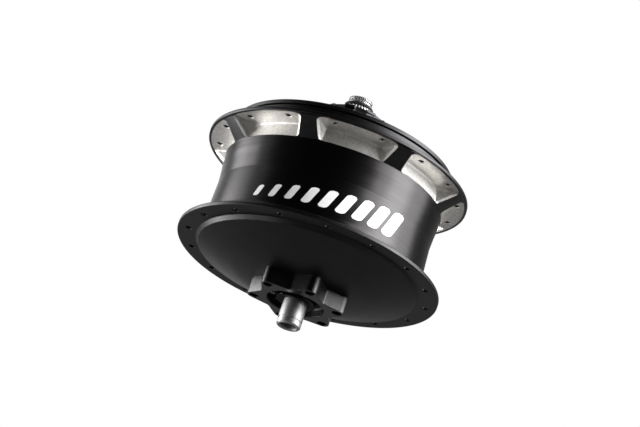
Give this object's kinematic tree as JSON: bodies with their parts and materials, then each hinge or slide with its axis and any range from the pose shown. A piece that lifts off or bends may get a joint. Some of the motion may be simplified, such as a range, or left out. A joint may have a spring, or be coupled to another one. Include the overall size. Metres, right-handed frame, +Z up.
{
  "type": "bicycle hub gear",
  "caption": "Wide black rear hub with two spoke flanges, silver pockets, a six-lobe disc mount and a stepless planetary gear inside.",
  "frame": {"origin": "on the hub axis, midway between the two ends of the axle", "axes": "+Y along the hub axis from the driver side to the brake disc side, +Z up and +X forward as the hub sits in a bicycle"},
  "size_m": [0.1376, 0.13, 0.1376],
  "materials": {
    "black_anodised": "black anodised aluminium, turned and finely brushed round the axis, satin",
    "black_steel": "black oxide steel, satin",
    "bright_steel": "bright turned steel",
    "ground_steel": "ground bearing steel, lightly oiled",
    "black_rubber": "matte black rubber",
    "bronze": "sintered bronze",
    "bare_aluminium": "bare cast and blasted aluminium with fine pitting",
    "white_print": "thin white printed graphic"
  },
  "bodies": {
    "axle": {"axle": "bright_steel", "brake_locknut": "black_steel", "drive_locknut": "bright_steel", "shift_seal": "black_rubber", "drive_spacer": "ground_steel", "input_bush": "bronze", "stator_circlip": "ground_steel", "fixed_stator": "ground_steel", "brake_bearing_inner_race": "ground_steel", "driver_bearing_inner_race": "ground_steel"},
    "shell": {"hub_shell": "black_anodised", "hub_cover": "black_anodised", "cover_seal": "black_rubber", "cover_bush": "bronze", "brake_bearing_outer_race": "ground_steel", "bearing_snap_ring": "bright_steel", "output_cam": "ground_steel", "output_roller_cage": "ground_steel", "output_ring": "ground_steel"},
    "driver": {"freewheel_body": "black_steel", "driver_bearing_outer_race": "ground_steel", "driver_dust_cap": "black_rubber"},
    "input": {"input_cam": "ground_steel", "input_roller_cage": "ground_steel", "input_ring": "ground_steel", "clutch_roller_cage": "ground_steel"},
    "idler": {"idler_ring": "ground_steel"},
    "shifter": {"shift_shaft": "bright_steel", "shift_pin": "bright_steel", "skew_stator": "ground_steel"},
    "brake_balls": {"brake_bearing_ball_cage": "ground_steel"},
    "driver_balls": {"driver_bearing_ball_cage": "ground_steel"},
    "planet_axle_body_1": {"planet_axle_1": "ground_steel"},
    "planet_ball_body_1": {"planet_ball_1": "ground_steel"},
    "planet_axle_body_2": {"planet_axle_2": "ground_steel"},
    "planet_ball_body_2": {"planet_ball_2": "ground_steel"},
    "planet_axle_body_3": {"planet_axle_3": "ground_steel"},
    "planet_ball_body_3": {"planet_ball_3": "ground_steel"},
    "planet_axle_body_4": {"planet_axle_4": "ground_steel"},
    "planet_ball_body_4": {"planet_ball_4": "ground_steel"},
    "planet_axle_body_5": {"planet_axle_5": "ground_steel"},
    "planet_ball_body_5": {"planet_ball_5": "ground_steel"},
    "planet_axle_body_6": {"planet_axle_6": "ground_steel"},
    "planet_ball_body_6": {"planet_ball_6": "ground_steel"}
  },
  "joints": [
    {"name": "shell_spin", "type": "hinge", "parent": "axle", "child": "shell", "pos_m": [0, 0, 0], "axis": [0, 1, 0], "continuous": true},
    {"name": "driver_spin", "type": "hinge", "parent": "axle", "child": "driver", "pos_m": [0, 0, 0], "axis": [0, 1, 0], "continuous": true},
    {"name": "input_spin", "type": "hinge", "parent": "axle", "child": "input", "pos_m": [0, 0, 0], "axis": [0, 1, 0], "continuous": true},
    {"name": "idler_spin", "type": "hinge", "parent": "axle", "child": "idler", "pos_m": [0, 0, 0], "axis": [0, 1, 0], "continuous": true},
    {"name": "brake_cage_spin", "type": "hinge", "parent": "axle", "child": "brake_balls", "pos_m": [0, 0, 0], "axis": [0, 1, 0], "continuous": true},
    {"name": "driver_cage_spin", "type": "hinge", "parent": "axle", "child": "driver_balls", "pos_m": [0, 0, 0], "axis": [0, 1, 0], "continuous": true},
    {"name": "shift_turn", "type": "hinge", "parent": "axle", "child": "shifter", "pos_m": [0, 0, 0], "axis": [0, 1, 0], "range_deg": [-9, 9]},
    {"name": "planet_1_tilt", "type": "hinge", "parent": "axle", "child": "planet_axle_body_1", "pos_m": [0.03, 0, 0], "axis": [0, 0, 1], "range_deg": [-18, 18]},
    {"name": "planet_1_spin", "type": "hinge", "parent": "planet_axle_body_1", "child": "planet_ball_body_1", "pos_m": [0.03, 0, 0], "axis": [0, 1, 0], "continuous": true},
    {"name": "planet_2_tilt", "type": "hinge", "parent": "axle", "child": "planet_axle_body_2", "pos_m": [0.015, 0, 0.02598], "axis": [-0.866, 0, 0.5], "range_deg": [-18, 18]},
    {"name": "planet_2_spin", "type": "hinge", "parent": "planet_axle_body_2", "child": "planet_ball_body_2", "pos_m": [0.015, 0, 0.02598], "axis": [0, 1, 0], "continuous": true},
    {"name": "planet_3_tilt", "type": "hinge", "parent": "axle", "child": "planet_axle_body_3", "pos_m": [-0.015, 0, 0.02598], "axis": [-0.866, 0, -0.5], "range_deg": [-18, 18]},
    {"name": "planet_3_spin", "type": "hinge", "parent": "planet_axle_body_3", "child": "planet_ball_body_3", "pos_m": [-0.015, 0, 0.02598], "axis": [0, 1, 0], "continuous": true},
    {"name": "planet_4_tilt", "type": "hinge", "parent": "axle", "child": "planet_axle_body_4", "pos_m": [-0.03, 0, 0], "axis": [0, 0, -1], "range_deg": [-18, 18]},
    {"name": "planet_4_spin", "type": "hinge", "parent": "planet_axle_body_4", "child": "planet_ball_body_4", "pos_m": [-0.03, 0, 0], "axis": [0, 1, 0], "continuous": true},
    {"name": "planet_5_tilt", "type": "hinge", "parent": "axle", "child": "planet_axle_body_5", "pos_m": [-0.015, 0, -0.02598], "axis": [0.866, 0, -0.5], "range_deg": [-18, 18]},
    {"name": "planet_5_spin", "type": "hinge", "parent": "planet_axle_body_5", "child": "planet_ball_body_5", "pos_m": [-0.015, 0, -0.02598], "axis": [0, 1, 0], "continuous": true},
    {"name": "planet_6_tilt", "type": "hinge", "parent": "axle", "child": "planet_axle_body_6", "pos_m": [0.015, 0, -0.02598], "axis": [0.866, 0, 0.5], "range_deg": [-18, 18]},
    {"name": "planet_6_spin", "type": "hinge", "parent": "planet_axle_body_6", "child": "planet_ball_body_6", "pos_m": [0.015, 0, -0.02598], "axis": [0, 1, 0], "continuous": true}
  ],
  "couplings": [
    {"joint": "input_spin", "follows": "shell_spin", "ratio": 1},
    {"joint": "idler_spin", "follows": "shell_spin", "ratio": -3.2604},
    {"joint": "brake_cage_spin", "follows": "shell_spin", "ratio": 0.5788},
    {"joint": "driver_cage_spin", "follows": "driver_spin", "ratio": 0.5793},
    {"joint": "planet_1_tilt", "follows": "shift_turn", "ratio": 2},
    {"joint": "planet_1_spin", "follows": "shell_spin", "ratio": 4.2636},
    {"joint": "planet_2_tilt", "follows": "shift_turn", "ratio": 2},
    {"joint": "planet_2_spin", "follows": "shell_spin", "ratio": 4.2636},
    {"joint": "planet_3_tilt", "follows": "shift_turn", "ratio": 2},
    {"joint": "planet_3_spin", "follows": "shell_spin", "ratio": 4.2636},
    {"joint": "planet_4_tilt", "follows": "shift_turn", "ratio": 2},
    {"joint": "planet_4_spin", "follows": "shell_spin", "ratio": 4.2636},
    {"joint": "planet_5_tilt", "follows": "shift_turn", "ratio": 2},
    {"joint": "planet_5_spin", "follows": "shell_spin", "ratio": 4.2636},
    {"joint": "planet_6_tilt", "follows": "shift_turn", "ratio": 2},
    {"joint": "planet_6_spin", "follows": "shell_spin", "ratio": 4.2636}
  ]
}
